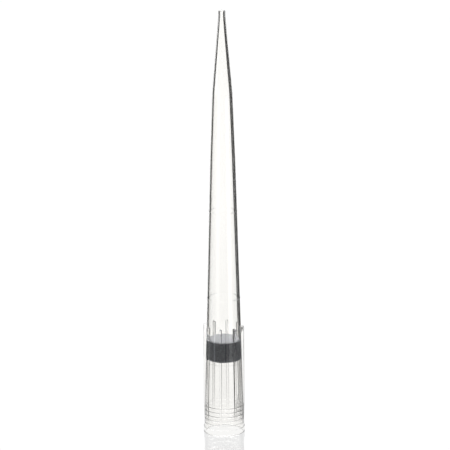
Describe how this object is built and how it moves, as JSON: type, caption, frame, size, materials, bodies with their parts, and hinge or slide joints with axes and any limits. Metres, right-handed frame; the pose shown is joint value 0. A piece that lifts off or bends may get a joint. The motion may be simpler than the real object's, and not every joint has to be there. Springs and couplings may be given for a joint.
{
  "type": "filter pipette tip",
  "caption": "Clear conical pipette tip with a finned collar, sealing rings inside its mouth and a grey porous filter pressed into its bore.",
  "frame": {"origin": "centre of the collar rim's resting face", "axes": "+Z along the bore axis, from the collar's mouth up to the point"},
  "size_m": [0.009, 0.009, 0.0936],
  "materials": {
    "clear_body": "clear, smooth moulded polypropylene",
    "filter": "grey sintered porous polyethylene, granular"
  },
  "bodies": {
    "root": {"tip_body": "clear_body", "filter_plug": "filter"}
  },
  "joints": []
}
